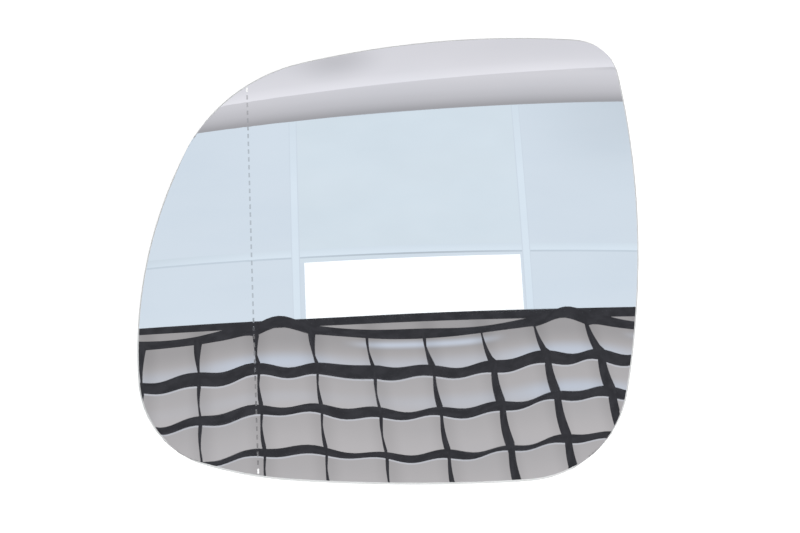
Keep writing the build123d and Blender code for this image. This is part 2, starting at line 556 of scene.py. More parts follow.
def flat_sheet(sizes):
    """The glass cut flat: one sheet of quads, with the dashed strip let in."""
    outline = Outline(sizes)
    line = DashLine(sizes, outline)
    sheet = draw_outline(sizes, outline, line)
    fill_dash_strip(sizes, sheet, line)
    main_corner = outline.point(line.bottom_station(outline, line.near))
    outer_corner = outline.point(line.top_station(outline, line.far))
    fill_zone(sheet, lambda place: place.x > line.near - NEAR, main_corner, line.rows)
    fill_zone(sheet, lambda place: place.x < line.far + NEAR, outer_corner, sizes.outer_columns)
    bpy.ops.mesh.select_all(action="SELECT")
    bpy.ops.mesh.normals_make_consistent(inside=False)
    return sheet, line


def spun_mould(sizes, line):
    """A mould with the form of the face: its side view, turned about the dome's axle."""
    margin = 2 * sizes.thickness
    crown = Vector((sizes.dome_axis_x, sizes.dome_axis_y, sizes.crown_height))
    centre = crown - Vector((0, 0, sizes.dome_radius))
    zone_start = line.x - sizes.dash_width

    def lean_at(x):
        return math.asin((x - crown.x) / sizes.dome_radius)

    def dome_normal(lean):
        return Vector((math.sin(lean), 0, math.cos(lean)))

    # The dome's arc, from past the door side to where the outer zone starts
    door_lean = lean_at(sizes.width / 2 + margin)
    zone_lean = lean_at(zone_start)
    sweep = door_lean - zone_lean
    mould = start_from_point("bending_mould", centre + dome_normal(door_lean) * sizes.dome_radius)
    arc_steps = round(sweep * sizes.dome_radius / sizes.mould_pitch)
    bpy.ops.mesh.spin(steps=arc_steps, angle=sweep, center=centre, axis=(0, 1, 0))

    # The outer zone's curve, which starts with the dome's slope and bend and then tightens evenly
    zone_width = sizes.width / 2 + zone_start
    reach = zone_width + margin
    rate = (1 / sizes.outer_end_radius - 1 / sizes.dome_radius) / zone_width
    down = -dome_normal(zone_lean)
    along = Vector((down.z, 0, -down.x))
    zone_steps = round(reach / sizes.mould_pitch)
    last = Vector((0, 0, 0))
    for step in range(1, zone_steps + 1):
        run = reach * step / zone_steps
        drop = run**2 / sizes.dome_radius / 2 + rate * run**3 / 6
        place = along * run + down * drop
        bpy.ops.mesh.extrude_vertices_move(TRANSFORM_OT_translate={"value": place - last})
        last = place

    # Both ways round the axle
    half_turn = (sizes.height / 2 + abs(crown.y) + margin) / sizes.dome_radius
    turn_steps = round(half_turn * sizes.dome_radius / sizes.mould_pitch)
    for angle in (half_turn, -half_turn):
        select(mould, "VERT", lambda vertex: abs(vertex.co.y - crown.y) < TINY)
        bpy.ops.mesh.spin(steps=turn_steps, angle=angle, center=centre, axis=(1, 0, 0))
    clear_selection()
    return mould


def bend_over_mould(sizes, sheet, line):
    """Presses the flat sheet straight down on the mould, as the real glass is bent."""
    mould = spun_mould(sizes, line)
    apply_modifier(
        sheet,
        "SHRINKWRAP",
        target=mould,
        wrap_method="PROJECT",
        use_project_z=True,
        use_positive_direction=True,
        use_negative_direction=True,
    )
    shape = mould.data
    bpy.data.objects.remove(mould)
    bpy.data.meshes.remove(shape)


def thicken_and_grind(sizes, sheet):
    """Gives the bent face its thickness, and grinds the edge round the front and the back."""
    apply_modifier(
        sheet,
        "SOLIDIFY",
        thickness=sizes.thickness,
        offset=-1.0,
        use_even_offset=True,
        material_offset=BACK_FACE,
        material_offset_rim=GROUND_EDGE,
    )
    apply_modifier(
        sheet,
        "BEVEL",
        width=sizes.edge_bevel,
        segments=BEVEL_ROWS,
        limit_method="ANGLE",
        angle_limit=CUT_ANGLE,
        use_clamp_overlap=False,
        material=GROUND_EDGE,
    )


def set_on_floor(glass):
    """Moves the ground glass up or down, so that the lowest points of its rim rest on the floor."""
    lowest = min(vertex.co.z for vertex in glass.data.vertices)
    bpy.ops.object.mode_set(mode="EDIT")
    bpy.ops.mesh.select_all(action="SELECT")
    bpy.ops.transform.translate(value=(0, 0, -lowest))


def etch_dashes(sizes, glass, line):
    """Sinks each dash into the face. The two end dashes run out on the ground edge and are the palest: their
    near white is painted light, for the lit floor seen through the glass near the rim.
    """
    end_dashes = (0, line.count - 1)

    def dash_of(face):
        if face.normal.z < LOOKS_UP:
            return None
        return line.number_at(face.calc_center_median())

    select(glass, "FACE", lambda face: dash_of(face) is not None)
    bpy.ops.mesh.extrude_region_move(TRANSFORM_OT_translate={"value": (0, 0, -sizes.dash_depth)})
    glass.active_material_index = ETCHED_DASH
    bpy.ops.object.material_slot_assign()
    select(glass, "FACE", lambda face: dash_of(face) in end_dashes)
    glass.active_material_index = END_DASH
    bpy.ops.object.material_slot_assign()


def smooth_faces(glass):
    """Smooth faces, with crisp borders where the polished faces meet the ground edge."""
    for slot in (COATED_FACE, BACK_FACE):
        select(glass, "FACE", lambda face: face.material_index == slot)
        bpy.ops.mesh.region_to_loop()
        bpy.ops.mesh.mark_sharp()
    bpy.ops.mesh.select_all(action="SELECT")
    bpy.ops.mesh.normals_make_consistent(inside=False)
    pick(glass)
    bpy.ops.object.shade_smooth_by_angle(angle=SMOOTH_ANGLE, keep_sharp_edges=True)


# Sockets of a Mix node that mixes colours
MIX_FIRST = 6
MIX_SECOND = 7
MIX_RESULT = 2

# Ground grain: grains to the metre, how strongly they stand out, their height, the pits' share in it, and the
# noise levels between which the tone changes
EDGE_GRAIN = 2400.0
DASH_GRAIN = 5200.0
EDGE_BUMP = 0.35
DASH_BUMP = 0.06
END_DASH_BUMP = 0.2
GRAIN_HEIGHT = 0.00003
PIT_SHARE = 0.6
GRAIN_TONES = (0.35, 0.70)

# Wipe haze: streaks to the metre, their turn and stretch, and the noise levels between which it comes in
WIPE_SCALE = 18.0
WIPE_TURN = (0, 0, math.radians(24))
WIPE_STRETCH = (1.0, 3.5, 1.0)
WIPE_TONES = (0.35, 0.75)

# Roughness, from clean to hazed or from the pits to the rest, and how far an etched dash still reflects
COATING_ROUGHNESS = (0.006, 0.013)
BACK_ROUGHNESS = (0.06, 0.12)
GROUND_ROUGHNESS = (0.55, 0.38)
ETCHED_ROUGHNESS = (0.04, 0.02)
ETCHED_METAL = 0.95


def feed(tree, socket, term):
    """Feeds a socket with a value, or with what another node puts out."""
    if isinstance(term, bpy.types.NodeSocket):
        tree.links.new(term, socket)
    else:
        socket.default_value = term


def add_node(tree, kind, *terms, **settings):
    """A new shader node. Terms feed its sockets in order, and settings feed sockets or set values by name."""
    node = tree.nodes.new(kind)
    for key, value in settings.items():
        name = key.replace("_", " ").title()
        if name in node.inputs:
            feed(tree, node.inputs[name], value)
        else:
            setattr(node, key, value)
    for socket, term in zip(node.inputs, terms):
        feed(tree, socket, term)
    return node


def object_place(tree):
    """Where a point lies in the axes of its own object."""
    return add_node(tree, "ShaderNodeTexCoord").outputs["Object"]


def calculate(tree, operation, *terms):
    """The result of one sum."""
    return add_node(tree, "ShaderNodeMath", *terms, operation=operation).outputs["Value"]


def fade(tree, value, begin, end, low, high, curve="SMOOTHSTEP"):
    """Goes from low to high while a value goes from begin to end."""
    node = add_node(tree, "ShaderNodeMapRange", value, begin, end, low, high, interpolation_type=curve)
    return node.outputs["Result"]


def rgba(values):
    """A colour with full opacity."""
    return (*values, 1.0)


def blend(tree, factor, first, second):
    """A colour that goes from the first to the second with a factor."""
    mix = add_node(tree, "ShaderNodeMix", factor, data_type="RGBA")
    mix.inputs[MIX_FIRST].default_value = rgba(first)
    mix.inputs[MIX_SECOND].default_value = rgba(second)
    return mix.outputs[MIX_RESULT]


def new_group(name, inputs, outputs):
    """An empty shader node group, and the sockets that bring its inputs in."""
    tree = bpy.data.node_groups.new(name, "ShaderNodeTree")
    for way, names in (("INPUT", inputs), ("OUTPUT", outputs)):
        for socket in names:
            tree.interface.new_socket(socket, in_out=way, socket_type="NodeSocketFloat")
    return tree, tree.nodes.new("NodeGroupInput").outputs


def grain_group():
    """Fine ground grain: a height, and a tone that darkens in the pits."""
    tree, given = new_group("Ground grain", ("Scale", "Pits"), ("Height", "Tone"))
    place = object_place(tree)
    scale = given["Scale"]
    noise = add_node(tree, "ShaderNodeTexNoise", vector=place, scale=scale, detail=4.0, roughness=0.65)
    pits = add_node(tree, "ShaderNodeTexVoronoi", vector=place, scale=scale)
    depth = calculate(tree, "MULTIPLY", pits.outputs["Distance"], given["Pits"])
    height = calculate(tree, "ADD", noise.outputs["Fac"], depth)
    tone = fade(tree, noise.outputs["Fac"], *GRAIN_TONES, 0.0, 1.0, curve="LINEAR")
    add_node(tree, "NodeGroupOutput", height, tone)
    return tree


def haze_group():
    """Faint wipe haze: long soft streaks over a polished face."""
    tree, given = new_group("Wipe haze", ("Scale",), ("Haze",))
    place = object_place(tree)
    streaks = add_node(tree, "ShaderNodeMapping", vector=place, rotation=WIPE_TURN, scale=WIPE_STRETCH)
    noise = add_node(tree, "ShaderNodeTexNoise", streaks.outputs["Vector"], detail=3.0, roughness=0.55)
    feed(tree, noise.inputs["Scale"], given["Scale"])
    add_node(tree, "NodeGroupOutput", fade(tree, noise.outputs["Fac"], *WIPE_TONES, 0.0, 1.0))
    return tree


def new_material(name):
    """An empty material, and its tree of nodes."""
    material = bpy.data.materials.new(name)
    material.use_nodes = True
    material.node_tree.nodes.clear()
    return material, material.node_tree


def show(tree, shader, output="ShaderNodeOutputMaterial"):
    """Makes a shader the one that shows."""
    add_node(tree, output, shader.outputs[0])


def polished_material(name, group, tints, roughness, coat=0.0):
    """A reflecting coating with faint wipe haze. Its tints and roughness go from clean to hazed."""
    material, tree = new_material(name)
    haze = add_node(tree, "ShaderNodeGroup", node_tree=group, scale=WIPE_SCALE).outputs["Haze"]
    shader = add_node(
        tree,
        "ShaderNodeBsdfPrincipled",
        base_color=blend(tree, haze, *tints),
        roughness=fade(tree, haze, 0.0, 1.0, *roughness, curve="LINEAR"),
        metallic=1.0,
        coat_weight=coat,
    )
    show(tree, shader)
    return material


def ground_material(name, group, tints, roughness, scale, bump_strength, metallic=0.0):
    """Matt ground or etched glass with a fine grain. Its tints and roughness go from the pits to the rest."""
    material, tree = new_material(name)
    grain = add_node(tree, "ShaderNodeGroup", node_tree=group, scale=scale, pits=PIT_SHARE).outputs
    bump = add_node(tree, "ShaderNodeBump", strength=bump_strength, distance=GRAIN_HEIGHT)
    feed(tree, bump.inputs["Height"], grain["Height"])
    shader = add_node(
        tree,
        "ShaderNodeBsdfPrincipled",
        base_color=blend(tree, grain["Tone"], *tints),
        roughness=fade(tree, grain["Tone"], 0.0, 1.0, *roughness, curve="LINEAR"),
        normal=bump.outputs["Normal"],
        metallic=metallic,
    )
    show(tree, shader)
    return material


def finish_materials(finish):
    """The five finishes of the glass, in the order of its slots."""
    haze = haze_group()
    grain = grain_group()
    coating = (finish.coating, finish.coating_haze)
    back = (finish.back, finish.back_haze)
    rim = (finish.ground_pits, finish.ground)
    dash = (finish.etched_painted_shade, finish.etched_painted_shade_light)
    end_dash_painted_light = (finish.end_dash_painted_light_pits, finish.end_dash_painted_light)
    return [
        polished_material("mirror_coating", haze, coating, COATING_ROUGHNESS),
        polished_material("coating_through_glass", haze, back, BACK_ROUGHNESS, coat=1.0),
        ground_material("ground_edge", grain, rim, GROUND_ROUGHNESS, EDGE_GRAIN, EDGE_BUMP),
        # Etched dashes: a real duller etched finish, tinted grey with painted shade for the shaded floor seen
        # through them
        ground_material("etched_painted_shade_dash", grain, dash, ETCHED_ROUGHNESS, DASH_GRAIN, DASH_BUMP, ETCHED_METAL),
        # End dashes: a matt ground finish, tinted near white with painted light for the lit floor seen
        # through them
        ground_material("end_dash_painted_light", grain, end_dash_painted_light, GROUND_ROUGHNESS, DASH_GRAIN, END_DASH_BUMP),
    ]


class OBJECT_OT_bent_mirror_glass(bpy.types.Operator):
    """Bend, grind and etch the mirror glass in place of its plain solid"""

    bl_idname = "object.bent_mirror_glass"
    bl_label = "Mirror glass"
    bl_options = {"REGISTER", "UNDO"}

    def execute(self, context):
        sizes = context.scene.mirror_glass_sizes
        glass, line = flat_sheet(sizes)
        for material in finish_materials(context.scene.mirror_glass_finish):
            glass.data.materials.append(material)
        bend_over_mould(sizes, glass, line)
        thicken_and_grind(sizes, glass)
        set_on_floor(glass)
        etch_dashes(sizes, glass, line)
        smooth_faces(glass)
        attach(glass, "root")
        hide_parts(NODE)
        return {"FINISHED"}


# Soft patches: the noise levels they lie between, how many there are to a card or a metre of cloth, and how
# far they go over and under the colour
PATCH_NOISE = (0.3, 0.7)
OVERHEAD_PATCHES = (14.0, 0.012)
MIDDLE_PATCHES = (3.0, 0.012)
DRAPE_PATCHES = (14.0, 0.015)
RIBBON_PATCHES = (60.0, 0.14)

# Cards that lie on each other are this far apart
LAYER = 0.002

BACKDROP_SIDES = 96
FLOOR_SIZE = 8
WHITE = (1.0, 1.0, 1.0, 1.0)

# Strength of the world's light, and the lamps: a name, a place, a size and a power
WORLD_LIGHT = 0.36
LAMPS = (("overhead_light", (0.2, 0.9, 1.4), 1.4, 12.0), ("front_light", (0.12, -1.0, 0.9), 0.8, 12.0))


def seen_background(tree):
    """1 for a ray that shows the background itself: to the camera, or by way of a mirror or glass."""
    rays = add_node(tree, "ShaderNodeLightPath").outputs
    mirrored = calculate(tree, "MAXIMUM", rays["Is Camera Ray"], rays["Is Glossy Ray"])
    return calculate(tree, "MAXIMUM", mirrored, rays["Is Transmission Ray"])


def mottling(tree, place, scale, spread):
    """Soft uneven patches, a little over and under 1."""
    noise = add_node(tree, "ShaderNodeTexNoise", vector=place, scale=scale)
    return fade(tree, noise.outputs["Fac"], *PATCH_NOISE, 1 - spread, 1 + spread)


def toning(tree, place, axis, tones):
    """Tones along one of a card's own axes. A tone is a place, from 0 to 1, and a share of the light."""
    along = add_node(tree, "ShaderNodeSeparateXYZ", place).outputs[axis]
    ramp = add_node(tree, "ShaderNodeValToRGB", calculate(tree, "ADD", along, 0.5))
    stops = ramp.color_ramp.elements
    stops[-1].position = tones[-1][0]
    for spot, _ in tones[1:-1]:
        stops.new(spot)
    for stop, (_, share) in zip(stops, tones):
        stop.color = rgba((share, share, share))
    return ramp.outputs["Color"]


def shading(tree, place, size, spot, reach, share):
    """A soft shade round a spot of a card, in metres from its middle, down to a share of the light."""
    spread = add_node(
        tree,
        "ShaderNodeMapping",
        vector=place,
        location=(-spot[0] / reach[0], -spot[1] / reach[1], 0),
        scale=(size[0] / reach[0], size[1] / reach[1], 1),
    )
    away = add_node(tree, "ShaderNodeVectorMath", spread.outputs["Vector"], operation="LENGTH")
    return fade(tree, away.outputs["Value"], 0.0, 1.0, share, 1.0)


def card_material(name, tint, patches=(), axis="Y", tones=(), shade=()):
    """A card that shows only its own colour: in soft patches, toned along an axis or shaded round a spot."""
    material, tree = new_material(name)
    place = object_place(tree)
    strength = mottling(tree, place, *patches) if patches else 1.0
    if tones:
        strength = calculate(tree, "MULTIPLY", toning(tree, place, axis, tones), strength)
    if shade:
        strength = calculate(tree, "MULTIPLY", strength, shading(tree, place, *shade))
    show(tree, add_node(tree, "ShaderNodeEmission", color=rgba(tint), strength=strength))
    return material


def stage_object(name, material):
    """Names the object that was just added and gives it its material."""
    added = bpy.context.object
    added.name = name
    added.data.materials.append(material)
    return added


def only_reflected(card):
    """Makes a card seen in the glass and nowhere else."""
    for ray in ("camera", "diffuse", "transmission", "volume_scatter", "shadow"):
        setattr(card, f"visible_{ray}", False)


def add_card(name, material, middle, size, skew=0.0):
    """A level card of a size about its middle, turned by its skew."""
    clear_selection()
    bpy.ops.mesh.primitive_plane_add(size=1, location=middle, rotation=(0, 0, skew))
    card = stage_object(name, material)
    card.scale = (*size, 1)
    only_reflected(card)


def add_overhead(studio):
    """The large pale card above the glass, with its strips and its bright panel in layers under it."""
    skew = studio.overhead_skew
    far_edge = studio.overhead_far_edge
    cross_edge = studio.cross_edge
    wide = 2 * studio.backdrop_radius

    # Soft shades: a place from a card's middle, how far it reaches, and the share of the light that is left
    door_shade = ((0.75, 2.98), (0.45, 0.30), 0.89)
    outer_shade = ((-0.75, 0), (0.5, 1), 0.93)
    panel_shade = ((studio.panel_across, 0), (0.45, 1), 0.82)

    # Tones along the two strips and across the cross strip
    strip_tones = ((0.0, 1.0), (0.72, 1.0), (0.88, 0.965), (1.0, 0.94))
    cross_tones = ((0.0, 1.015), (0.35, 0.99), (1.0, 0.935))

    def below(layers):
        return studio.overhead_height - layers * LAYER

    whole = (wide, wide)
    middle = Vector((0, far_edge, below(0))) - Matrix.Rotation(skew, 3, "Z") @ Vector((0, wide / 2, 0))
    pale = card_material("overhead_card", studio.overhead, OVERHEAD_PATCHES, shade=(whole, *door_shade))
    add_card("overhead_card", pale, middle, whole, skew)

    field_size = (studio.door_strip - studio.outer_strip, far_edge - cross_edge)
    field_middle = ((studio.door_strip + studio.outer_strip) / 2, (far_edge + cross_edge) / 2, below(0.5))
    field = card_material("overhead_middle", studio.overhead_middle, MIDDLE_PATCHES)
    add_card("overhead_middle", field, field_middle, field_size, skew)

    cross_size = (wide, studio.cross_width)
    cross_middle = (0, cross_edge + studio.cross_width / 2, below(1))
    cross_shade = (cross_size, *outer_shade)
    cross = card_material("cross_strip", studio.overhead_strip, tones=cross_tones, shade=cross_shade)
    add_card("strip_cross", cross, cross_middle, cross_size, studio.cross_skew)

    line_size = (wide, studio.line_width)
    line = card_material("overhead_line", studio.overhead_line, shade=(line_size, *panel_shade))
    add_card("line_cross", line, (0, cross_edge, below(2)), line_size, studio.cross_skew)

    groove = card_material("overhead_groove", studio.overhead_groove)
    strip = card_material("overhead_strip", studio.overhead_strip, tones=strip_tones)
    groove_width = studio.strip_width + studio.line_width
    for side, x in (("outer", studio.outer_strip), ("door", studio.door_strip)):
        far = far_edge + x * math.tan(skew) - studio.line_width
        reach = far - studio.panel_along
        halfway = far - reach / 2
        add_card(f"groove_{side}", groove, (x, halfway, below(3)), (groove_width, reach))
        add_card(f"strip_{side}", strip, (x, halfway, below(4)), (studio.strip_width, reach))

    bright = card_material("light_panel", studio.panel)
    panel_middle = (studio.panel_across, studio.panel_along, below(5))
    add_card("light_panel", bright, panel_middle, (studio.panel_width, studio.panel_length))


def add_drape(studio):
    """The grey sheet beyond the overhead card: a shaded hem, and a fold that catches the light."""
    height = studio.overhead_height
    wide = 2 * studio.backdrop_radius
    skew = studio.drape_skew

    # Tones of painted light: shade up the hem, a painted shadow along under the fold, and a painted highlight
    # at the fold that fades up the sheet
    hem_tones = ((0.0, 0.43), (0.05, 0.46), (0.15, 0.565), (0.25, 0.645), (0.45, 0.74), (0.7, 0.81))
    fold_shadow_tones = ((0.0, 0.83), (0.35, 0.80), (0.6, 0.74), (1.0, 0.71))
    sheet_tones = ((0.0, 1.0), (0.007, 0.94), (0.012, 0.89), (0.019, 0.865), (0.03, 0.845))

    hem_painted_light = card_material("drape_hem", studio.drape, tones=hem_tones)
    hem_middle = (0, studio.overhead_far_edge + studio.drape_hem / 2, height + LAYER)
    add_card("drape_hem", hem_painted_light, hem_middle, (wide, studio.drape_hem), studio.overhead_skew)

    depth = studio.backdrop_radius
    hollow = ((wide, depth), studio.hollow_spot, studio.hollow_reach, studio.hollow_shade)
    sheet = card_material("drape_sheet", studio.drape, DRAPE_PATCHES, tones=sheet_tones, shade=hollow)
    add_card("drape_sheet", sheet, (0, studio.drape_fold + depth / 2, height), (wide, depth), skew)

    # A thin darker card of painted shadow just under the fold's highlight, towards the door
    fold_shadow = card_material("drape_fold_shadow", studio.drape, axis="X", tones=fold_shadow_tones)
    fold_shadow_run = studio.fold_shadow_across - depth / 2 * math.sin(skew)
    fold_shadow_middle = (studio.fold_shadow_across, studio.drape_fold + fold_shadow_run * math.tan(skew), height - LAYER)
    add_card("drape_fold_shadow", fold_shadow, fold_shadow_middle, (studio.fold_shadow_length, studio.fold_shadow_width), skew)


def add_backdrop(studio):
    """A round backdrop for the reflections from the sides: white at the floor and greyer higher up."""
    tones = ((0.0, 1.0), (0.12, 0.96), (0.30, 0.78), (0.55, 0.60), (1.0, 0.78))
    clear_selection()
    bpy.ops.mesh.primitive_cylinder_add(vertices=BACKDROP_SIDES, radius=1, depth=1, end_fill_type="NOTHING")
    material = card_material("round_backdrop", studio.backdrop, axis="Z", tones=tones)
    backdrop = stage_object("round_backdrop", material)
    backdrop.location.z = studio.overhead_height / 2
    backdrop.scale = (studio.backdrop_radius, studio.backdrop_radius, studio.overhead_height)
    only_reflected(backdrop)


class SlackGrid:
    """The soft light's cloth grid, gone slack.

    Its points are in the light's own axes: across it, along it and out of its back.
    """

    # The first column of all, how many cells lie across, and how many steps a ribbon takes in a cell
    left = -2
    columns = 12
    steps = 10

    # How far each row of ribbons leans over, as a slope, from the rim down
    row_leans = (0.27, 0.05, 0.20, 0.29, 0.40, 0.40)

    # The first row: its lift for each column before the second one, how much less it leans at a crest than
    # in a hollow, how flat its arches are on top, and how far they lie off the crests, in columns
    outer_lift = 0.005
    crest_lean = 0.05
    arch_power = 0.8
    arch_shift = 0.12

    # How far the other rows rise and fall askew in each cell, and how far each row is lifted in each column
    # past the one where the lift towards the door starts
    skew = 0.0024
    lift_column = 6
    door_lifts = (0.0, 0.0015, 0.002, -0.002, 0.0, 0.0)

    # How much of the sag each row takes up in a hollow and at a crest, from the rim down
    row_sags = ((0.0, 0.0), (0.5, 1.1), (0.5, 0.6), (0.5, -0.1), (0.5, 0.5), (0.5, 0.5))

    # How far the rows twist to and fro along their length, and the length and the start of each row's twist,
    # in cells
    twist = 0.10
    row_twists = ((2.7, 0.0), (2.7, 0.9), (2.05, 0.04), (2.32, 1.6), (2.7, 0.9), (2.7, 1.8))

    # The share of the sag and of the skew that the second row takes up in some cells instead
    second_row_cells = {0: (0.05, 1.0), 2: (1.34, 0.0), 3: (0.24, 0.0), 4: (0.0, 1.0), 6: (0.2, 1.0)}

    # How far a column leans over at the rim, at the foot of the first cells and further down, as slopes
    usual_leans = (0.28, 0.0, 0.0)
    column_leans = {
        0: (0.16, -0.10, 0.0),
        3: (0.37, 0.09, 0.07),
        4: (0.20, 0.18, 0.18),
        5: (0.35, 0.07, 0.10),
        6: (0.33, 0.20, 0.0),
        7: (0.38, 0.25, 0.03),
        8: (0.35, 0.20, 0.03),
    }

    # How far some columns stand off their even places, and how far each one drifts back towards the rim
    nudges = {0: -0.004, 2: 0.002, 4: -0.0035, 5: -0.0035}
    rim_drift = 0.001

    def __init__(self, light):
        self.light = light
        self.rows = len(self.row_leans)
        self.foot = light.first_along - self.rows * light.cell_length
        self.reach = light.rim_along - self.foot
        self.front = -light.ribbon_depth / 2 - light.cloth

    def across(self, column):
        """Where a column stands. Columns are counted from the first one that shows in the glass."""
        return self.light.first_across + column * self.light.cell_width

    def swing(self, column):
        """The slow swell of the whole grid, from 1 at a crest to -1 in a hollow."""
        wave = math.cos(math.tau * (column - self.light.swell_crest) / self.light.swell_cells)
        return 2 * (0.5 + 0.5 * wave) ** self.light.swell_sharpness - 1

    def along(self, row, column):
        """Where a row runs: the first arches up at the crests, and the others sag in every cell."""
        swing = self.swing(column)
        hollow_sag, crest_sag = self.row_sags[row]
        sag = hollow_sag + (crest_sag - hollow_sag) * (0.5 + 0.5 * swing)
        skew = 1.0
        if row == 1:
            sag, skew = self.second_row_cells.get(math.floor(column), (sag, skew))
        bulge = abs(math.sin(math.pi * column))
        even = self.light.first_along - row * self.light.cell_length
        along = even + self.light.swell * swing - self.light.sag * sag * bulge**2
        if row == 0:
            crest = max(0.0, self.swing(column - self.arch_shift)) ** 3
            along += self.light.arch * crest * bulge**self.arch_power
            along += self.outer_lift * max(0.0, 1 - column)
        else:
            along -= self.skew * skew * math.sin(math.tau * column)
            along += self.door_lifts[row] * max(0.0, column - self.lift_column)
        return along

    def lean(self, row, column):
        """How far a row's ribbon leans over at a column, as a slope."""
        cells, start = self.row_twists[row]
        twist = self.twist * math.sin(math.tau * (column + start) / cells)
        upright = self.crest_lean * self.swing(column) if row == 0 else 0.0
        return self.row_leans[row] + twist - upright

    def row_point(self, row, share, out):
        """A point of a row's ribbon."""
        column = self.left + share * self.columns
        return (self.across(column), self.along(row, column) + self.lean(row, column) * out, out)

    def column_point(self, column, share, out):
        """A point of a column's ribbon, which bows between the rows and flares towards the rim."""
        step = share * self.rows
        row = min(int(step), self.rows - 1)
        rest = step - row
        row_below = self.along(row + 1, column) if row + 1 < self.rows else self.foot
        along = self.along(row, column) * (1 - rest) + row_below * rest
        near_top = max(0.0, 1 - step)
        along += self.lean(0, column) * out * near_top
        bow = self.light.bow * math.sin(math.pi * rest)
        at_rim, at_foot, below = self.column_leans.get(column, self.usual_leans)
        lean = at_foot + (at_rim - at_foot) * near_top if step < 1 else below
        drift = self.rim_drift * column * near_top
        return (self.across(column) + self.nudges.get(column, 0.0) - bow - drift + lean * out, along, out)

    def hem_painted_light_point(self, row, share, out):
        """A point of the pale strip of painted highlight under a row's ribbon, at the diffuser: light from
        the diffuser caught on the ribbon's back edge.
        """
        across, along, back = self.row_point(row, share, self.light.ribbon_depth / 2)
        return (across, along - (self.light.cloth + self.light.hem_painted_light_width) / 2 + out, back)

    def side_point(self, column, share, out):
        """A point of the frame's side, a flat band in front of the ribbons' ends."""
        across, top, _ = self.rim_point((column - self.left) / self.columns, self.light.rim_width / 2)
        bottom = self.foot - self.light.frame_width / 2
        return (across + out, top + (bottom - top) * share, self.front)

    def foot_point(self, share, out):
        """A point of the frame's foot, a flat band in front of the columns' ends."""
        return (self.across(self.left + share * self.columns), self.foot + out, self.front)

    def rim_point(self, share, out):
        """A point of the rim, a flat band that runs nearly straight and grows wider towards the door."""
        across = self.across(self.left + share * self.columns)
        taper = 1 + self.light.rim_taper * across
        step = self.light.rim_step * (1 + math.tanh(across / self.light.cell_width)) / 2
        return (across, self.light.rim_along + self.light.rim_bow * across**2 + step + out * taper, 0)

    def diffuser_point(self, share, out):
        """A point of the diffuser, which hangs from the rim behind the ribbons."""
        across = self.across(self.left + share * self.columns)
        behind = self.light.ribbon_depth / 2 + self.light.cloth
        top = self.light.rim_along + behind
        return (across, top - self.reach / 2 + out, behind)


def add_cloth(light, name, material, steps, width, place_point):
    """A strip of the light's cloth, each point placed by a share of its length and a way off its line."""
    clear_selection()
    bpy.ops.mesh.primitive_grid_add(x_subdivisions=steps, y_subdivisions=1, size=1)
    cloth = stage_object(name, material)
    for vertex in cloth.data.vertices:
        vertex.co = place_point(vertex.co.x + 0.5, vertex.co.y * width)
    apply_modifier(cloth, "SOLIDIFY", thickness=light.cloth, offset=0.0)
    lean = Matrix.Rotation(light.lean, 4, "X")
    side_lean = Matrix.Rotation(light.side_lean, 4, "Y")
    roll = Matrix.Rotation(light.roll, 4, "Z")
    cloth.matrix_world = Matrix.Translation((0, light.middle_y, light.middle_z)) @ side_lean @ lean @ roll
    only_reflected(cloth)


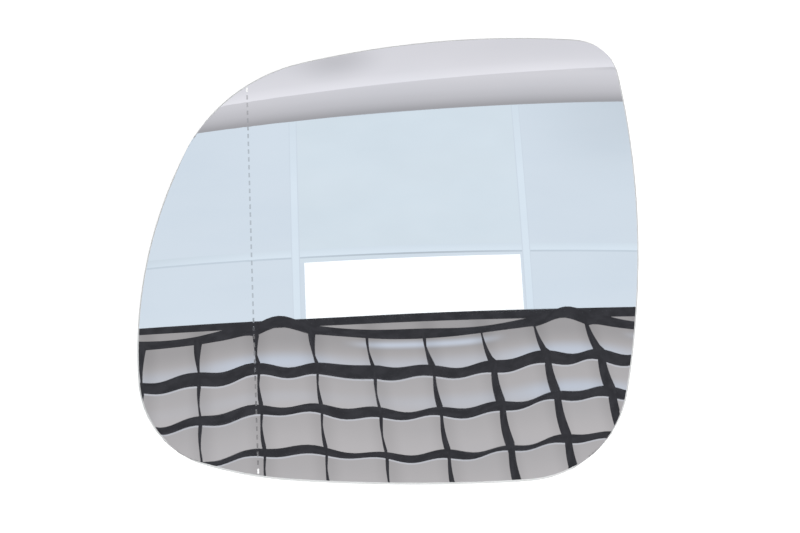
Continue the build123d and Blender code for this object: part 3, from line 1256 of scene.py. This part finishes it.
def diffuser_material(light):
    """The soft light's diffuser: shaded by the ribbons and the columns, with a glow in the first cells."""
    material, tree = new_material("diffuser")
    result = functools.partial(calculate, tree)
    ease = functools.partial(fade, tree)
    place = add_node(tree, "ShaderNodeSeparateXYZ", object_place(tree)).outputs

    # Which column and which row of cells a point lies in
    column = result("DIVIDE", result("SUBTRACT", place["X"], light.first_across), light.cell_width)
    off_crest = result("SUBTRACT", column, light.swell_crest)
    wave = result("COSINE", result("MULTIPLY", off_crest, math.tau / light.swell_cells))
    crest = result("POWER", result("MULTIPLY_ADD", wave, 0.5, 0.5), light.swell_sharpness)
    swing = result("MULTIPLY_ADD", crest, 2.0, -1.0)
    first_row = result("MULTIPLY_ADD", swing, light.swell, light.first_along)
    row = result("DIVIDE", result("SUBTRACT", first_row, place["Y"]), light.cell_length)

    # Where the light changes, in rows, columns, shares of a cell or the swing of the swell
    ribbon_foot = 0.08
    cell_shading = (0.05, 0.95)
    rim_shading = (0.2, 0.9)
    column_shading = 0.3
    seam_row = 0.11
    seam_width = 0.16
    seam_columns = (3.2, 4.2)
    seam_swings = (-0.9, 0.15)
    glow_rows = (0.9, 1.9)
    glow_swings = (-0.4, 0.9)
    glow_start = (0.40, 0.75)
    glow_end = (0.80, 1.0)
    least_glow = 0.5
    door_columns = (3.0, 6.0)
    door_reach = 0.6

    # How much light falls there: least under a ribbon, and more along a seam that shows in the hollows
    down_cell = result("FRACT", result("MAXIMUM", result("ADD", row, ribbon_foot), 0.0))
    off_seam = result("ABSOLUTE", result("SUBTRACT", row, seam_row))
    hollow = ease(swing, *seam_swings, ease(column, *seam_columns, 0.0, 1.0), 0.0)
    seam = result("MULTIPLY", ease(off_seam, 0.0, seam_width, 1.0, 0.0), hollow)
    lit = result("MAXIMUM", ease(down_cell, *cell_shading, 0.0, 1.0), seam)
    shade = ease(row, *rim_shading, light.rim_shade, light.shade)
    strength = result("MULTIPLY_ADD", lit, result("SUBTRACT", 1.0, shade), shade)
    beside = ease(result("PINGPONG", column, 0.5), 0.0, column_shading, light.side_shade, 1.0)

    # Where it glows: at the foot of the first cells and, towards the door, further down
    off_rim = result("SUBTRACT", row, ease(column, *door_columns, 0.0, door_reach))
    near_rim = ease(off_rim, *glow_rows, ease(swing, *glow_swings, least_glow, 1.0), 0.0)
    at_foot = ease(down_cell, *glow_start, 0.0, ease(down_cell, *glow_end, 1.0, least_glow))
    glowing = result("MAXIMUM", result("MULTIPLY", at_foot, near_rim), seam)
    shader = add_node(
        tree,
        "ShaderNodeEmission",
        color=blend(tree, glowing, light.diffuser, light.glow),
        strength=result("MULTIPLY", strength, beside),
    )
    show(tree, shader)
    return material


def add_soft_light(light):
    """The soft light over the camera: a diffuser behind a grid of dark cloth ribbons, in a dark frame."""
    grid = SlackGrid(light)
    dark = card_material("grid_ribbon", light.ribbon, RIBBON_PATCHES)
    # Painted highlight: pale strips for the diffuser's light caught on the ribbons' back edges
    hem_painted_light = card_material("ribbon_hem_painted_light", light.hem_painted_light)
    across_steps = grid.columns * grid.steps
    along_steps = grid.rows * grid.steps
    last = grid.left + grid.columns
    bind = functools.partial
    strips = []
    for row in range(grid.rows):
        points = bind(grid.row_point, row)
        strips.append((f"ribbon_row_{row + 1}", dark, across_steps, light.ribbon_depth, points))
    # A strip of painted highlight under each row after the first
    for row in range(1, grid.rows):
        points = bind(grid.hem_painted_light_point, row)
        strips.append((f"ribbon_hem_painted_light_{row + 1}", hem_painted_light, across_steps, light.hem_painted_light_width, points))
    for number, column in enumerate(range(grid.left, last + 1), start=1):
        points = bind(grid.column_point, column)
        strips.append((f"ribbon_column_{number}", dark, along_steps, light.ribbon_depth, points))
    strips += [
        ("soft_light_outer_side", dark, 1, light.frame_width, bind(grid.side_point, grid.left)),
        ("soft_light_door_side", dark, 1, light.frame_width, bind(grid.side_point, last)),
        ("soft_light_foot", dark, 1, light.frame_width, grid.foot_point),
        ("soft_light_rim", dark, across_steps, light.rim_width, grid.rim_point),
        ("diffuser", diffuser_material(light), 1, grid.reach, grid.diffuser_point),
    ]
    for strip in strips:
        add_cloth(light, *strip)


def add_floor(studio):
    """The plain floor, which shows white to the camera and keeps the soft shadow of the glass."""
    material, tree = new_material("studio_floor")
    lift = calculate(tree, "MULTIPLY", seen_background(tree), studio.floor_lift)
    matt = add_node(tree, "ShaderNodeBsdfDiffuse", color=rgba(studio.floor))
    glow = add_node(tree, "ShaderNodeEmission", color=rgba(studio.floor), strength=lift)
    show(tree, add_node(tree, "ShaderNodeAddShader", matt.outputs[0], glow.outputs[0]))
    clear_selection()
    bpy.ops.mesh.primitive_plane_add(size=FLOOR_SIZE, location=(0, 0, 0))
    stage_object("studio_floor", material)


def add_lights():
    """Soft light from above, and an even white world that the camera and the glass see as white."""
    for name, spot, size, power in LAMPS:
        clear_selection()
        bpy.ops.object.light_add(type="AREA", location=spot)
        lamp = bpy.context.object
        lamp.name = name
        lamp.data.size = size
        lamp.data.energy = power
        lamp.rotation_euler = (-Vector(spot)).to_track_quat("-Z", "Y").to_euler()
        lamp.visible_glossy = False
        lamp.visible_camera = False
    world = bpy.data.worlds.new("studio_world")
    bpy.context.scene.world = world
    world.use_nodes = True
    tree = world.node_tree
    tree.nodes.clear()
    lighting = add_node(tree, "ShaderNodeBackground", color=WHITE, strength=WORLD_LIGHT)
    seen = add_node(tree, "ShaderNodeBackground", color=WHITE, strength=1.0)
    mix = add_node(tree, "ShaderNodeMixShader", seen_background(tree), lighting.outputs[0], seen.outputs[0])
    show(tree, mix, "ShaderNodeOutputWorld")


def add_camera(studio, sizes):
    """The camera over the lower edge of the glass, looking down on it."""
    tilt = studio.camera_tilt
    roll = studio.camera_roll
    up_slope = Vector((0, math.cos(tilt), math.sin(tilt)))
    back = Vector((0, -math.sin(tilt), math.cos(tilt)))
    across = Vector((1, 0, 0))
    right = across * math.cos(roll) - up_slope * math.sin(roll)
    up = across * math.sin(roll) + up_slope * math.cos(roll)
    aim = Vector((0, studio.aim_up, sizes.crown_height))
    clear_selection()
    bpy.ops.object.camera_add(location=(0, 0, 0))
    camera = bpy.context.object
    camera.name = "studio_camera"
    turned = Matrix((right, up, back)).transposed().to_4x4()
    camera.matrix_world = Matrix.Translation(aim + back * studio.camera_distance) @ turned
    camera.data.sensor_width = SENSOR_WIDTH
    camera.data.lens = studio.camera_lens
    camera.data.shift_x = studio.shift_across
    camera.data.shift_y = studio.shift_up
    bpy.context.scene.camera = camera


class OBJECT_OT_mirror_glass_studio(bpy.types.Operator):
    """Set up the floor, the lights, the reflected cards and the camera"""

    bl_idname = "object.mirror_glass_studio"
    bl_label = "Studio"
    bl_options = {"REGISTER", "UNDO"}

    def execute(self, context):
        studio = context.scene.mirror_glass_studio
        add_floor(studio)
        add_lights()
        add_backdrop(studio)
        add_overhead(studio)
        add_drape(studio)
        add_soft_light(context.scene.mirror_glass_soft_light)
        add_camera(studio, context.scene.mirror_glass_sizes)
        context.scene.view_settings.view_transform = "Standard"
        return {"FINISHED"}


class VIEW3D_PT_mirror_glass(bpy.types.Panel):
    """Sizes, colours and steps of the mirror glass"""

    bl_idname = "VIEW3D_PT_mirror_glass"
    bl_label = "Mirror glass"
    bl_space_type = "VIEW_3D"
    bl_region_type = "UI"
    bl_category = "Mirror glass"

    def draw(self, context):
        scene = context.scene
        steps = (
            ("object.bent_mirror_glass", (scene.mirror_glass_sizes, scene.mirror_glass_finish)),
            ("object.mirror_glass_studio", (scene.mirror_glass_studio, scene.mirror_glass_soft_light)),
        )
        for step, groups in steps:
            box = self.layout.box()
            for group in groups:
                for name in group.__annotations__:
                    box.prop(group, name)
            box.operator(step)


GROUPS = {
    "mirror_glass_sizes": MirrorGlassSizes,
    "mirror_glass_finish": MirrorGlassFinish,
    "mirror_glass_studio": MirrorGlassStudio,
    "mirror_glass_soft_light": MirrorGlassSoftLight,
}
TOOLS = (OBJECT_OT_bent_mirror_glass, OBJECT_OT_mirror_glass_studio, VIEW3D_PT_mirror_glass)


def register():
    """Adds the tools and their settings to Blender."""
    for name, group in GROUPS.items():
        bpy.utils.register_class(group)
        setattr(bpy.types.Scene, name, PointerProperty(type=group))
    for tool in TOOLS:
        bpy.utils.register_class(tool)


def unregister():
    """Takes the tools and their settings out again."""
    for tool in reversed(TOOLS):
        bpy.utils.unregister_class(tool)
    for name, group in GROUPS.items():
        delattr(bpy.types.Scene, name)
        bpy.utils.unregister_class(group)


def main():
    """Builds the glass and its studio."""
    register()
    bpy.ops.object.bent_mirror_glass()
    bpy.ops.object.mirror_glass_studio()


if __name__ == "__main__":
    main()
